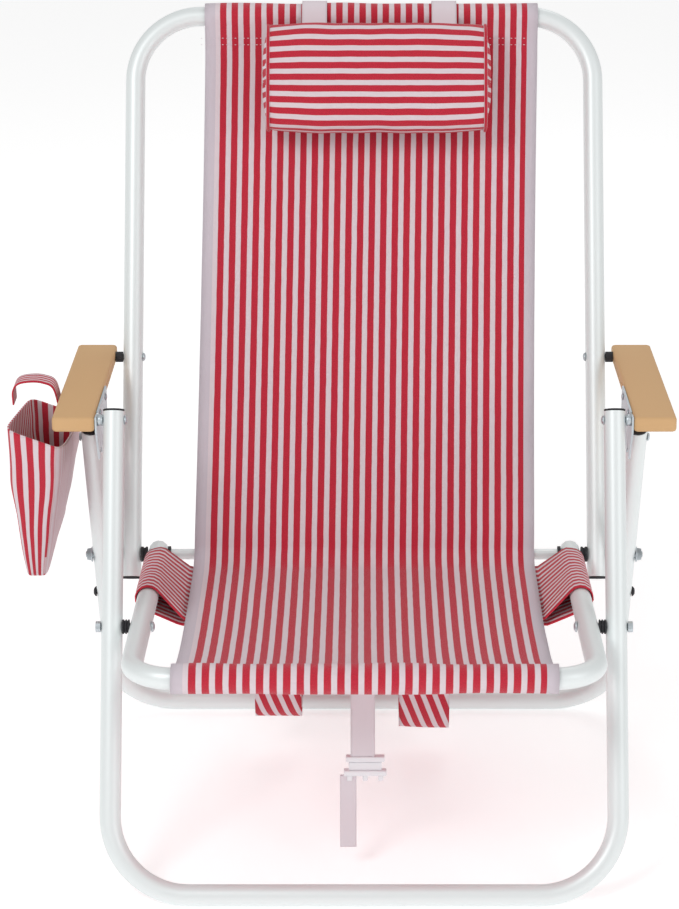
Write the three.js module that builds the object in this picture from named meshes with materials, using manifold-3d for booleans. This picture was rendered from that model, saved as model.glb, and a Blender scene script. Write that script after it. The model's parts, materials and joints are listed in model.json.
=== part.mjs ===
// Low folding camp chair: four bent tube frames, a striped sling, wooden armrests, pillow, pouch and straps.
// X points to the chair's left when sat in, Y to the rear and Z up. Millimetres and degrees.
import * as THREE from "three";
import { mergeVertices } from "three/addons/utils/BufferGeometryUtils.js";
import Module from "manifold-3d";

const wasm = await Module();
wasm.setup();

// ---- Driving dimensions ----
const TUBE_R = 11; // frame tube radius
const TUBE_WALL = 1.6;
const SEAT_HALF = 229; // half the distance between the seat tubes' axes
const STACK_GAP = 7.5; // seat tube to back tube and front leg
const LATCH_GAP = 9.5; // back tube and front leg to rear leg
const HINGE_Z = 236;
const BACK_LEAN = 26; // back and front leg, from the vertical
const SEAT_RISE = 4.5; // seat, from the horizontal
const REAR_LEAN = 23.6; // rear leg, from the vertical
const BACK_REACH = 610; // hinge to the top bar's axis
const BACK_TAIL = 25; // back tube below the hinge
const SEAT_REACH = 392; // hinge to the seat's front bar
const SEAT_TAIL = 14;
const SEAT_PIVOT = 241; // hinge to the front leg's pivot, along the seat
const ARM_PIVOT = 221; // hinge to the armrest's pivot, along the back
const TOP_PIVOT = 213; // front leg's pivot to the armrest bracket's bolt, along the leg
const FRONT_TOP = 222; // front leg's pivot to the leg's upper end
const REAR_TOP = 192; // hinge to the rear leg's upper end
const FRONT_CORNER = 80;
const REAR_CORNER = 71;
const SLING_SIDE = 41; // seat tube axis to the sling's edge
const CLOTH = 2; // thickness of sling and band
const WEBBING = 1.6;
const ARM_W = 44;
const ARM_T = 16;
const ARM_FRONT = 9; // armrest ahead of the bracket bolt
const ARM_REAR = 24; // armrest behind its pivot
const ARM_SLOPE = 2.1; // armrest's rise towards the front
const BOLT_R = 3;
const HINGE_BOLT_R = 3.5;
const CROSSBAR_R = 6;
const PLATE_T = 2;
const PILLOW_W = 256;
const PILLOW_X = 14; // pillow's centre, off the middle
const PILLOW_H = 126;
const PILLOW_D = 54;
const POUCH_L = 225;
const POUCH_H = 182;
// Clearances
const GAP = 0.3;
const BORE = 0.25; // bolt to its hole, on the radius
const SLEEVE = 1.6; // sleeve to the bar inside it
const CORNER_SLACK = 4; // sleeve end to the start of the bar's bend, allowed past it
const SIDES = 16;

// ---- Derived positions, in the side plane (Y, Z) ----
const rad = THREE.MathUtils.degToRad;
const v2 = (y, z) => new THREE.Vector2(y, z);
const along = (p, d, t) => p.clone().addScaledVector(d, t);
const FRONT_HALF = SEAT_HALF + 2 * TUBE_R + STACK_GAP; // front leg and back
const REAR_HALF = FRONT_HALF + 2 * TUBE_R + LATCH_GAP;
const backUp = v2(Math.sin(rad(BACK_LEAN)), Math.cos(rad(BACK_LEAN)));
const backFore = v2(-backUp.y, backUp.x);
const seatFore = v2(-Math.cos(rad(SEAT_RISE)), Math.sin(rad(SEAT_RISE)));
const seatUp = v2(seatFore.y, -seatFore.x);
const rearUp = v2(-Math.sin(rad(REAR_LEAN)), Math.cos(rad(REAR_LEAN)));
const SLING_W = 2 * (SEAT_HALF - SLING_SIDE);
const SEAT_CORNER = SLING_SIDE + CORNER_SLACK;
const BACK_CORNER = FRONT_HALF - SLING_W / 2 + CORNER_SLACK;
const pivotRise = HINGE_Z + SEAT_PIVOT * seatFore.y - TUBE_R;
const hinge = v2(pivotRise * Math.tan(rad(BACK_LEAN)) - SEAT_PIVOT * seatFore.x, HINGE_Z);
const seatPivot = along(hinge, seatFore, SEAT_PIVOT);
const armPivot = along(hinge, backUp, ARM_PIVOT);
const topPivot = along(seatPivot, backUp, TOP_PIVOT);
const frontTop = along(seatPivot, backUp, FRONT_TOP);
const rearTop = along(hinge, rearUp, REAR_TOP);
const topBar = along(hinge, backUp, BACK_REACH);
const seatBar = along(hinge, seatFore, SEAT_REACH);
const onBack = (t, w) => along(along(hinge, backUp, t), backFore, w);
const onSeat = (t, w) => along(along(hinge, seatFore, t), seatUp, w);

// ---- Materials ----
const material = (color, roughness, metalness = 0) =>
  new THREE.MeshStandardMaterial({ color, roughness, metalness });
const enamel = material(0xe4e9e9, 0.25);
const black = material(0x15161a, 0.5);
const zinc = material(0x9fa8ac, 0.32, 1);
const wood = material(0xcda06e, 0.5);
const stripe = material(0xc23a50, 0.75);
const webbing = material(0xd9ccd4, 0.8);
const whitePlastic = material(0xe9e6ea, 0.4);

// ---- Geometry helpers ----
const chair = new THREE.Group();
const HAND = { right: -1, left: 1 };

function add(name, geometry, mat, mirror = 1) {
  const mesh = new THREE.Mesh(geometry, mat);
  mesh.name = name;
  mesh.scale.x = mirror;
  chair.add(mesh);
}

// The same piece on both sides, drawn at +X.
function addPair(name, geometry, mat) {
  for (const side in HAND) add(name + "_" + side, geometry, mat, HAND[side]);
}

function solid(geometry) {
  const bare = geometry.clone();
  bare.deleteAttribute("normal");
  bare.deleteAttribute("uv");
  const merged = mergeVertices(bare, 1e-3);
  return new wasm.Manifold(
    new wasm.Mesh({
      numProp: 3,
      vertProperties: merged.attributes.position.array,
      triVerts: new Uint32Array(merged.index.array),
    }),
  );
}

function geometryOf(body) {
  const mesh = body.getMesh();
  return new THREE.BufferGeometry()
    .setAttribute("position", new THREE.BufferAttribute(mesh.vertProperties, 3))
    .setIndex(new THREE.BufferAttribute(mesh.triVerts, 1));
}

const cut = (geometry, ...tools) =>
  geometryOf(tools.reduce((body, tool) => body.subtract(solid(tool)), solid(geometry)));
const join = (...parts) =>
  geometryOf(parts.slice(1).reduce((body, part) => body.add(solid(part)), solid(parts[0])));

// A path through given stations, each a point with the tube's direction there.
class StationPath extends THREE.Curve {
  constructor(stations) {
    super();
    this.stations = stations;
  }
  getUtoTmapping(u) {
    return u;
  }
  getPoint(t) {
    return this.stations[Math.round(t * (this.stations.length - 1))].at.clone();
  }
  getTangent(t) {
    return this.stations[Math.round(t * (this.stations.length - 1))].dir.clone();
  }
}

function ring(radius, count, turn = 0) {
  const points = [];
  for (let i = 0; i < count; i++) {
    const a = turn + (2 * Math.PI * i) / count;
    points.push(v2(radius * Math.cos(a), radius * Math.sin(a)));
  }
  return points;
}

function sweep(stations, outline, hole) {
  const shape = new THREE.Shape(outline);
  if (hole) shape.holes.push(new THREE.Path(hole));
  return new THREE.ExtrudeGeometry(shape, {
    steps: stations.length - 1,
    bevelEnabled: false,
    extrudePath: new StationPath(stations),
  });
}

// A U of tube: two arms at X = -half and +half starting at `end`, and a bar `reach` further along `dir`.
function uStations(half, end, dir, reach, corner, arcSteps = 6) {
  const stations = [];
  const station = (x, t, dx, dt) => {
    const p = along(end, dir, t);
    stations.push({
      at: new THREE.Vector3(x, p.x, p.y),
      dir: new THREE.Vector3(dx, dir.x * dt, dir.y * dt).normalize(),
    });
  };
  station(-half, 0, 0, 1);
  for (let i = 0; i <= arcSteps; i++) {
    const a = (Math.PI / 2) * (i / arcSteps);
    station(-half + corner * (1 - Math.cos(a)), reach - corner * (1 - Math.sin(a)), Math.sin(a), Math.cos(a));
  }
  for (let i = arcSteps; i >= 0; i--) {
    const a = (Math.PI / 2) * (i / arcSteps);
    station(half - corner * (1 - Math.cos(a)), reach - corner * (1 - Math.sin(a)), Math.sin(a), -Math.cos(a));
  }
  station(half, 0, 0, -1);
  return stations;
}

const tubeU = (...uShape) =>
  sweep(uStations(...uShape), ring(TUBE_R, SIDES, Math.PI / SIDES), ring(TUBE_R - TUBE_WALL, 12, Math.PI / 12));

// A turned piece along +X at a side-plane position: profile points are [x, radius], closed on the axis.
function turned(at, profile, sides = 12) {
  return new THREE.LatheGeometry(profile.map(([x, r]) => v2(r, x)), sides)
    .rotateZ(-Math.PI / 2)
    .translate(0, at.x, at.y);
}

const rod = (at, x0, x1, r, sides = 12) => turned(at, [[x0, 0], [x0, r], [x1, r], [x1, 0]], sides);

function washer(at, x0, x1, rOut, rIn, ribs = 0) {
  const outer = [];
  const step = (x1 - x0) / (2 * ribs + 1);
  for (let i = 0; i <= 2 * ribs; i++) {
    const r = i % 2 ? rOut - 1.2 : rOut;
    outer.push([x0 + i * step, r], [x0 + (i + 1) * step, r]);
  }
  return turned(at, [[x0, rIn], ...outer, [x1, rIn], [x0, rIn]]);
}

// A bolt with a domed head whose flat side is at x0, and its shank running to x1.
function domeBolt(at, x0, x1, r, headR, headT, collar = []) {
  const head = [[x0 - headT, 0], [x0 - headT, headR * 0.45], [x0 - headT * 0.6, headR * 0.85], [x0, headR]];
  return turned(at, [...head, [x0, r], ...collar, [x1, r], [x1, 0]]);
}

// Holes along X through both walls of a tube, on both sides of the chair.
const crossHole = (at, r) => rod(at, -REAR_HALF - 40, REAR_HALF + 40, r + BORE, 12);

// A prism along X of an outline drawn in the side plane.
function prism(outline, x0, x1) {
  const shape = new THREE.Shape(outline);
  const basis = new THREE.Matrix4().makeBasis(
    new THREE.Vector3(0, 1, 0),
    new THREE.Vector3(0, 0, 1),
    new THREE.Vector3(1, 0, 0),
  );
  return new THREE.ExtrudeGeometry(shape, { depth: x1 - x0, bevelEnabled: false })
    .applyMatrix4(basis)
    .translate(x0, 0, 0);
}

// The outline of a strip of cloth that follows `line`, `thick` wide.
function strip(line, thick) {
  const side = (sign) =>
    line.map((p, i) => {
      const back = line[Math.max(i - 1, 0)];
      const next = line[Math.min(i + 1, line.length - 1)];
      const d = next.clone().sub(back).normalize();
      return p.clone().add(v2(-d.y, d.x).multiplyScalar((sign * thick) / 2));
    });
  return [...side(-1), ...side(1).reverse()];
}

const circle = (centre, radius, count) => ring(radius, count).map((p) => p.add(centre));
const sleeveInner = TUBE_R + SLEEVE;
const sleeveOuter = sleeveInner + CLOTH;

// A sling panel: the cloth along `line`, ending in a sleeve around a bar.
function slingPanel(line, bar) {
  const half = SLING_W / 2;
  const body = solid(prism(strip(line, CLOTH), -half, half))
    .add(solid(prism(circle(bar, sleeveOuter, 18), -half, half)))
    .subtract(solid(prism(circle(bar, sleeveInner, 18), -half - 1, half + 1)));
  return geometryOf(body);
}

// ---- Frames ----
const backEnd = along(hinge, backUp, -BACK_TAIL);
const seatEnd = along(hinge, seatFore, -SEAT_TAIL);
const down = (d) => d.clone().negate();
const FOOT_FLAT = 0.4; // worn flat under each ground bar
const floorReach = (from, dir) => (from.y - TUBE_R + FOOT_FLAT) / -dir.y;
const belowFloor = new THREE.BoxGeometry(3 * REAR_HALF, 3 * BACK_REACH, 20).translate(0, 0, -10);
const frontDown = down(backUp);
const rearDown = down(rearUp);
const backTube = tubeU(FRONT_HALF, backEnd, backUp, BACK_TAIL + BACK_REACH, BACK_CORNER);
const seatTube = tubeU(SEAT_HALF, seatEnd, seatFore, SEAT_TAIL + SEAT_REACH, SEAT_CORNER);
const frontTube = tubeU(FRONT_HALF, frontTop, frontDown, floorReach(frontTop, frontDown), FRONT_CORNER);
const rearTube = tubeU(REAR_HALF, rearTop, rearDown, floorReach(rearTop, rearDown), REAR_CORNER);
const RIVET_DROP = 60; // rivet below the hinge, along the rear leg
const rivetAt = along(hinge, rearDown, RIVET_DROP);
add("back_frame", cut(backTube, crossHole(hinge, HINGE_BOLT_R), crossHole(armPivot, BOLT_R)), enamel);
add("seat_frame", cut(seatTube, crossHole(hinge, HINGE_BOLT_R), crossHole(seatPivot, HINGE_BOLT_R)), enamel);
add(
  "front_leg_frame",
  cut(frontTube, belowFloor, crossHole(seatPivot, HINGE_BOLT_R), crossHole(topPivot, BOLT_R)),
  enamel,
);
const pinAt = along(hinge, rearUp, REAR_TOP - 12); // latch pin near the rear leg's top
add(
  "rear_leg_frame",
  cut(rearTube, belowFloor, crossHole(hinge, HINGE_BOLT_R), crossHole(rivetAt, BOLT_R), crossHole(pinAt, BOLT_R)),
  enamel,
);

const seatIn = SEAT_HALF - TUBE_R;
const seatOut = SEAT_HALF + TUBE_R;
const frontIn = FRONT_HALF - TUBE_R;
const frontOut = FRONT_HALF + TUBE_R;
const rearIn = REAR_HALF - TUBE_R;
const rearOut = REAR_HALF + TUBE_R;

// Hinge crossbar between the seat tubes, hollow for the hinge bolts
const WASHER_T = 3.2;
const crossbarHalf = seatIn - WASHER_T - 2 * GAP;
add(
  "hinge_crossbar",
  cut(rod(hinge, -crossbarHalf, crossbarHalf, CROSSBAR_R), crossHole(hinge, HINGE_BOLT_R)),
  enamel,
);

// Plugs in the open tube ends: a disc on the end and a stem inside
function plug(half, end, outward, dome = 0) {
  const stem = TUBE_R - TUBE_WALL - GAP - 0.3;
  const profile = [[-6, 0], [-6, stem], [GAP, stem], [GAP, TUBE_R], [GAP + 1.8, TUBE_R]];
  if (dome) profile.push([GAP + 1.8 + dome * 0.6, TUBE_R * 0.75]);
  profile.push([GAP + 1.8 + dome, dome ? TUBE_R * 0.3 : TUBE_R - 0.6], [GAP + 1.8 + dome, 0]);
  const turn = new THREE.Quaternion().setFromUnitVectors(
    new THREE.Vector3(1, 0, 0),
    new THREE.Vector3(0, outward.x, outward.y),
  );
  return turned(v2(0, 0), profile).applyQuaternion(turn).translate(half, end.x, end.y);
}
addPair("back_plug", plug(FRONT_HALF, backEnd, frontDown), black);
addPair("front_leg_plug", plug(FRONT_HALF, frontTop, backUp), black);
addPair("rear_leg_plug", plug(REAR_HALF, rearTop, rearUp), black);
addPair("seat_cap", plug(SEAT_HALF, seatEnd, down(seatFore), 6), whitePlastic);

// ---- Pivots ----
const NUT_R = 7.2;
const NUT_T = 6;
const hex = (at, x0, r) => turned(at, [[x0, HINGE_BOLT_R + BORE], [x0, r + 1.4], [x0 + 1.2, r + 1.4], [x0 + 1.2, r],
  [x0 + NUT_T, r * 0.9], [x0 + NUT_T, HINGE_BOLT_R + BORE], [x0, HINGE_BOLT_R + BORE]]);
addPair("hinge_bolt", rod(hinge, crossbarHalf - 14, rearOut + GAP + NUT_T + 1.5, HINGE_BOLT_R), zinc);
addPair("hinge_nut", hex(hinge, rearOut + GAP, NUT_R), zinc);
addPair("hinge_washer", washer(hinge, seatIn - GAP - WASHER_T, seatIn - GAP, 9, HINGE_BOLT_R + BORE), black);
addPair("hinge_spacer", washer(hinge, seatOut + GAP, frontIn - GAP, 8.5, HINGE_BOLT_R + BORE, 1), black);
addPair("hinge_outer_spacer", washer(hinge, frontOut + GAP, rearIn - GAP, 8.5, HINGE_BOLT_R + BORE, 1), black);
const PIVOT_NUT_T = 5;
addPair("seat_pivot_bolt", domeBolt(seatPivot, seatIn - GAP, frontOut + GAP + PIVOT_NUT_T, HINGE_BOLT_R, 6, 3.2), zinc);
addPair("seat_pivot_spacer", washer(seatPivot, seatOut + GAP, frontIn - GAP, 7.5, HINGE_BOLT_R + BORE, 2), black);
addPair(
  "seat_pivot_nut",
  washer(seatPivot, frontOut + GAP, frontOut + GAP + PIVOT_NUT_T, 5.8, HINGE_BOLT_R + BORE),
  zinc,
);
const rivetHead = 6;
addPair(
  "leg_rivet",
  domeBolt(rivetAt, rearIn - GAP, rearOut + GAP + 3, BOLT_R, rivetHead, 3, [
    [rearOut + GAP, BOLT_R],
    [rearOut + GAP, rivetHead],
    [rearOut + GAP + 1.6, rivetHead * 0.85],
  ]),
  black,
);

// ---- Armrests, with the notched plate that takes the front leg's bolt ----
const armIn = rearIn - 1; // inner face of the wood
const plateOut = armIn - GAP;
const plateIn = plateOut - PLATE_T;
const armFore = v2(-Math.cos(rad(ARM_SLOPE)), Math.sin(rad(ARM_SLOPE)));
const armUp = v2(armFore.y, -armFore.x);
const onArm = (t, w) => along(along(armPivot, armFore, t), armUp, w); // t forward of the pivot, w above it
const topOnArm = topPivot.clone().sub(armPivot);
const topT = topOnArm.dot(armFore);
const topW = topOnArm.dot(armUp);
const ARM_DROP = 8; // pivot below the armrest's top face
function armBlock() {
  const length = topT + ARM_FRONT + ARM_REAR;
  const bevel = 3;
  const half = ARM_W / 2;
  const r = 5;
  const shape = new THREE.Shape()
    .moveTo(-half + r, 0)
    .lineTo(half - r, 0)
    .absarc(half - r, r, r, -Math.PI / 2, 0)
    .lineTo(half, length - r)
    .absarc(half - r, length - r, r, 0, Math.PI / 2)
    .lineTo(-half + r, length)
    .absarc(-half + r, length - r, r, Math.PI / 2, Math.PI)
    .lineTo(-half, r)
    .absarc(-half + r, r, r, Math.PI, 1.5 * Math.PI);
  const rear = onArm(-ARM_REAR, ARM_DROP - ARM_T);
  const basis = new THREE.Matrix4().makeBasis(
    new THREE.Vector3(-1, 0, 0),
    new THREE.Vector3(0, armFore.x, armFore.y),
    new THREE.Vector3(0, armUp.x, armUp.y),
  );
  return new THREE.ExtrudeGeometry(shape, {
    depth: ARM_T - 2 * bevel,
    curveSegments: 3,
    bevelThickness: bevel,
    bevelSize: bevel,
    bevelOffset: -bevel,
    bevelSegments: 2,
  })
    .translate(0, 0, bevel)
    .applyMatrix4(basis)
    .translate(armIn + half, rear.x, rear.y);
}
const ARM_BOLT_IN = 24; // bolt's length inside the wood
const SCREW_R = 1.8;
const SCREW_IN = 14;
const screwSpots = [onArm(topT - 34, 0), onArm(topT - 92, 0)];
add("armrest_left", armWood(), wood);
add("armrest_right", armWood(), wood, HAND.right);
function armWood() {
  return cut(
    armBlock(),
    rod(armPivot, armIn - 5, armIn + ARM_BOLT_IN + GAP, BOLT_R + BORE),
    ...screwSpots.map((spot) => rod(spot, armIn - 5, armIn + SCREW_IN + GAP, SCREW_R + BORE, 8)),
  );
}
addPair("armrest_bolt", domeBolt(armPivot, frontIn - GAP, armIn + ARM_BOLT_IN, BOLT_R, 5, 2.6), zinc);
addPair("armrest_spacer", washer(armPivot, frontOut + GAP, armIn - GAP, 6, BOLT_R + BORE), black);

// Slot for the bolt's travel in the plate: the two links differ in length, so the bolt shifts as the chair folds.
const FOLD_MAX = 97;
const SLOT_STEPS = 6;
function boltTravel(fold) {
  const turnedUp = v2(Math.sin(rad(BACK_LEAN - fold)), Math.cos(rad(BACK_LEAN - fold)));
  return along(topPivot, turnedUp.clone().sub(backUp), TOP_PIVOT - ARM_PIVOT);
}
function slotCutters(clear) {
  const path = [];
  for (let i = 0; i <= SLOT_STEPS; i++) path.push(boltTravel((FOLD_MAX * i) / SLOT_STEPS));
  return [
    prism(strip(path, 2 * clear), plateIn - 2, plateOut + 2),
    ...path.map((p) => rod(p, plateIn - 2, plateOut + 2, clear)),
  ];
}
const pinT = pinAt.clone().sub(armPivot).dot(armFore);
const pinW = pinAt.clone().sub(armPivot).dot(armUp);
const NOTCH = BOLT_R + 0.5; // half the width of a notch's root
const NOTCH_PITCH = 24;
const notchRoot = pinW + NOTCH;
const toothTip = pinW - 6;
const notch = (t) => [
  onArm(t + NOTCH + 2, toothTip),
  onArm(t + NOTCH, notchRoot),
  onArm(t - NOTCH, notchRoot),
  onArm(t - NOTCH - notchRoot + toothTip, toothTip),
];
const plateOutline = [
  onArm(topT + 6, 7),
  onArm(topT + 6, topW - 12),
  onArm(pinT + 2 * NOTCH_PITCH + 10, toothTip),
  ...notch(pinT + 2 * NOTCH_PITCH),
  ...notch(pinT + NOTCH_PITCH),
  ...notch(pinT),
  onArm(pinT - 22, toothTip + 4),
  onArm(pinT - 32, -18),
  onArm(pinT - 32, 7),
];
addPair(
  "armrest_plate",
  cut(
    prism(plateOutline, plateIn, plateOut),
    ...slotCutters(BOLT_R + 1),
    ...screwSpots.map((spot) => rod(spot, plateIn - 2, plateOut + 2, SCREW_R + BORE, 8)),
  ),
  zinc,
);
const collarOut = plateIn - GAP;
addPair(
  "armrest_plate_bolt",
  domeBolt(topPivot, frontIn - GAP, plateOut, BOLT_R, 5, 2.6, [
    [frontOut + GAP, BOLT_R],
    [frontOut + GAP, 6],
    [collarOut, 6],
    [collarOut, BOLT_R],
  ]),
  zinc,
);
const pinHead = rearOut + GAP;
addPair(
  "latch_pin",
  turned(pinAt, [[plateIn - 2.5, 0], [plateIn - 2.5, BOLT_R], [pinHead, BOLT_R], [pinHead, 5], [pinHead + 2, 3.5],
    [pinHead + 2, 0]]),
  zinc,
);
["front", "rear"].forEach((place, i) =>
  addPair("plate_screw_" + place, domeBolt(screwSpots[i], plateIn - GAP, armIn + SCREW_IN, SCREW_R, 4, 1.6), zinc),
);

// ---- Sling: a back panel and a seat panel, parted just above the hinge so that the chair can fold ----
const LIP = 26; // the seat panel's rise above the hinge
const backLine = [onBack(LIP + 4, 7.4), onBack(120, -4), onBack(220, -14), onBack(320, -18), onBack(420, -17),
  onBack(520, -10), onBack(BACK_REACH - sleeveInner - CLOTH / 2, 0)];
const lipLine = [onBack(LIP, 7.6), onBack(13, 8), onBack(3, 9.4)];
const seatLine = [...lipLine, onSeat(15, -4), onSeat(40, -8.5), onSeat(100, -14), onSeat(180, -19), onSeat(260, -18),
  onSeat(330, -10), onSeat(SEAT_REACH - sleeveInner - CLOTH / 2, 0)];
add("sling_back", slingPanel(backLine, topBar), stripe);
add("sling_seat", slingPanel(seatLine, seatBar), stripe);

// Band under the sling, looped round both seat tubes
const BAND_FROM = 20;
const BAND_TO = 152;
const bandIn = TUBE_R + 1.2;
function bandLoop(offset) {
  const points = [];
  for (let i = 0; i <= 9; i++) {
    const a = rad(-62 + 22 * i);
    points.push(v2(SEAT_HALF + (bandIn + offset) * Math.cos(a), (bandIn + offset) * Math.sin(a)));
  }
  const low = v2(SLING_W / 2 + 6, -29 - offset);
  const high = v2(SLING_W / 2 + 3 - offset, -25.5 + offset);
  const half = [low, ...points, high];
  const mirrored = half.map((p) => v2(-p.x, p.y)).reverse();
  return [...half, ...mirrored];
}
function band() {
  const shape = new THREE.Shape(bandLoop(CLOTH));
  shape.holes.push(new THREE.Path(bandLoop(0)));
  const from = onSeat(BAND_FROM, 0);
  const basis = new THREE.Matrix4().makeBasis(
    new THREE.Vector3(1, 0, 0),
    new THREE.Vector3(0, seatUp.x, seatUp.y),
    new THREE.Vector3(0, seatFore.x, seatFore.y),
  );
  return new THREE.ExtrudeGeometry(shape, { depth: BAND_TO - BAND_FROM, bevelEnabled: false })
    .applyMatrix4(basis)
    .translate(0, from.x, from.y);
}
add("under_band", band(), stripe);

// ---- Pillow, hung over the top bar by two straps ----
const pillowTop = BACK_REACH - 16;
const PILLOW_BACK = 5; // pillow's rear face ahead of the back's tube plane
function pillow() {
  const ends = 16;
  const shrink = 12;
  const centreT = pillowTop - PILLOW_H / 2;
  const centreW = PILLOW_BACK + PILLOW_D / 2;
  const outline = [];
  for (let i = 0; i < 20; i++) {
    const a = (2 * Math.PI * i) / 20;
    const round = (c, power) => Math.sign(c) * Math.abs(c) ** power;
    outline.push(v2((PILLOW_H / 2) * round(Math.cos(a), 0.62), (PILLOW_D / 2) * round(Math.sin(a), 0.72)));
  }
  const centre = onBack(centreT, centreW);
  const basis = new THREE.Matrix4().makeBasis(
    new THREE.Vector3(0, backUp.x, backUp.y),
    new THREE.Vector3(0, backFore.x, backFore.y),
    new THREE.Vector3(1, 0, 0),
  );
  return new THREE.ExtrudeGeometry(new THREE.Shape(outline), {
    depth: PILLOW_W - 2 * ends,
    bevelThickness: ends,
    bevelSize: shrink,
    bevelOffset: -shrink,
    bevelSegments: 3,
  })
    .translate(0, 0, ends - PILLOW_W / 2)
    .applyMatrix4(basis)
    .translate(PILLOW_X, centre.x, centre.y);
}
add("pillow", pillow(), stripe);
const strapR = sleeveOuter + WEBBING / 2 + 1.2;
const strapLine = [onBack(pillowTop + 3, strapR + 1)];
for (let i = 0; i <= 8; i++) {
  const a = (Math.PI * i) / 8;
  strapLine.push(onBack(BACK_REACH + strapR * Math.sin(a), strapR * Math.cos(a)));
}
strapLine.push(onBack(BACK_REACH - 50, -strapR - 7));
const STRAP_W = 28;
const STRAP_X = [-56, 90];
["right", "left"].forEach((side, i) =>
  add("pillow_strap_" + side, prism(strip(strapLine, WEBBING), STRAP_X[i] - STRAP_W / 2, STRAP_X[i] + STRAP_W / 2),
    webbing),
);

// ---- Backpack straps behind the back, hanging in a loop below the hinge ----
function packStrap(x, width, drop) {
  const low = (y, z) => v2(hinge.x + y, hinge.y + z);
  const line = [onBack(540, -20), onBack(430, -34), onBack(300, -44), onBack(170, -42), onBack(70, -36),
    low(42, -30), low(38, -90), low(22, -drop + 22), low(2, -drop + 3), low(-20, -drop), low(-40, -drop + 18),
    low(-46, -110), low(-38, -29.5)];
  return prism(strip(line, 4), x - width / 2, x + width / 2);
}
add("pack_strap_right", packStrap(-96, 52, 186), stripe);
add("pack_strap_left", packStrap(67, 56, 200), stripe);

// ---- Closure strap under the seat: webbing, half a buckle and the loose tail ----
const strapAt = onSeat(279, -22);
const hang = (x0, x1, z0, z1, thick) => prism([v2(strapAt.x - thick / 2, z0), v2(strapAt.x + thick / 2, z0),
  v2(strapAt.x + thick / 2, z1), v2(strapAt.x - thick / 2, z1)], x0, x1);
const BUCKLE_TOP = 128;
const BUCKLE_LOW = 106;
const TAIL_LOW = 26;
add("closure_strap", hang(-14, 11, BUCKLE_TOP + GAP, strapAt.y, WEBBING), webbing);
const prong = (x) => hang(x, x + 5, BUCKLE_LOW - 5, BUCKLE_LOW + 5, 5);
add("closure_buckle", join(hang(-21, 23, BUCKLE_LOW, BUCKLE_TOP, 8), prong(-6), prong(6), prong(18)), whitePlastic);
add("closure_tail", hang(-25, -8, TAIL_LOW, BUCKLE_LOW - GAP, WEBBING), webbing);

// ---- Pouch hung outside the right armrest ----
const POUCH_FRONT = topPivot.x - ARM_FRONT - 5;
const pouchTop = onArm(topT, ARM_DROP).y - 8;
function prismY(outline, y0, y1) {
  return new THREE.ExtrudeGeometry(new THREE.Shape(outline), { depth: y1 - y0, bevelEnabled: false })
    .rotateX(Math.PI / 2)
    .translate(0, y1, 0);
}
const armOut = armIn + ARM_W;
const floorZ = pouchTop - POUCH_H;
function pouchOutline(inset, top) {
  return [
    v2(-armOut - 50 + inset, top),
    v2(-armOut - 44 + inset, floorZ + 22),
    v2(-armOut - 32, floorZ + inset),
    v2(-armOut - 8, floorZ + inset),
    v2(-rearOut - 13 - inset, floorZ + 20),
    v2(-rearOut - 10 - inset, top - 24),
  ];
}
add(
  "pouch",
  cut(
    prismY(pouchOutline(0, pouchTop), POUCH_FRONT, POUCH_FRONT + POUCH_L),
    prismY([...pouchOutline(CLOTH, pouchTop).slice(1, 5), v2(-rearOut - 10 - CLOTH, pouchTop + 5),
      v2(-armOut - 50 + CLOTH, pouchTop + 5)], POUCH_FRONT + CLOTH, POUCH_FRONT + POUCH_L - CLOTH),
  ),
  stripe,
);
const loopLine = [v2(-armOut - 52, pouchTop - 14), v2(-armOut - 52, pouchTop + 3), v2(-armOut - 38, pouchTop + 12),
  v2(-armOut - 22, pouchTop + 15), v2(-armOut - 7, pouchTop + 10), v2(-armOut - 1.6, pouchTop - 2)];
add("pouch_loop", prismY(strip(loopLine, WEBBING), POUCH_FRONT + 100, POUCH_FRONT + 126), stripe);

export default chair;
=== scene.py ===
"""Low folding camp chair: tube frames, striped sling, wooden armrests, pillow, pouch and straps."""

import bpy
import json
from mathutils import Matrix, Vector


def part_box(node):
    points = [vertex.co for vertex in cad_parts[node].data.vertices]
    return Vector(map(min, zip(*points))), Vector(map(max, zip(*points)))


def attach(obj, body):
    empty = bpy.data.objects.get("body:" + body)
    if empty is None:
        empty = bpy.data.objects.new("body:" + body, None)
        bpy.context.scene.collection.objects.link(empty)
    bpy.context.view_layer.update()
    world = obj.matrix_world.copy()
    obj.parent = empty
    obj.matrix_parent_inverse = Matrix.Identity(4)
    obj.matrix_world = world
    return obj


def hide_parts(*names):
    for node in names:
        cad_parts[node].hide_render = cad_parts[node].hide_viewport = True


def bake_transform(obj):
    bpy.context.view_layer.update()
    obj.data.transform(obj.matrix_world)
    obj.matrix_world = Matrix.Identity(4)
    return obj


bl_info = {
    "name": "Folding Camp Chair",
    "version": (1, 0, 0),
    "blender": (4, 5, 0),
    "location": "View3D > Sidebar > Camp Chair",
    "description": "Finishes a low folding camp chair over its frame",
    "category": "Object",
}

import json
import math
from bisect import bisect_left

import bmesh
import bpy
from mathutils import Vector, noise

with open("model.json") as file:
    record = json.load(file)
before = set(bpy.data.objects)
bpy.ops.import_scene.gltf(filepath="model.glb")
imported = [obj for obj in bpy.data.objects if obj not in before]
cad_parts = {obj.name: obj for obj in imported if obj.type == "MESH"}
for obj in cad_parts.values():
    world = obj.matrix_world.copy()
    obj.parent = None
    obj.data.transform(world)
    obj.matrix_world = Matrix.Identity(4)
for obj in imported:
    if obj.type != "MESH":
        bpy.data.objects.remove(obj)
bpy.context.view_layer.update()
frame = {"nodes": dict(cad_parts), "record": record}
BEHAVIOUR = frame["record"]["behaviour"]
PIVOT = {joint["name"]: Vector(joint["pos_m"]) for joint in BEHAVIOUR["joints"]}
BODY_OF = {node: body for body, nodes in BEHAVIOUR["bodies"].items() for node in nodes}
HINGE = PIVOT["fold"]

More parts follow.
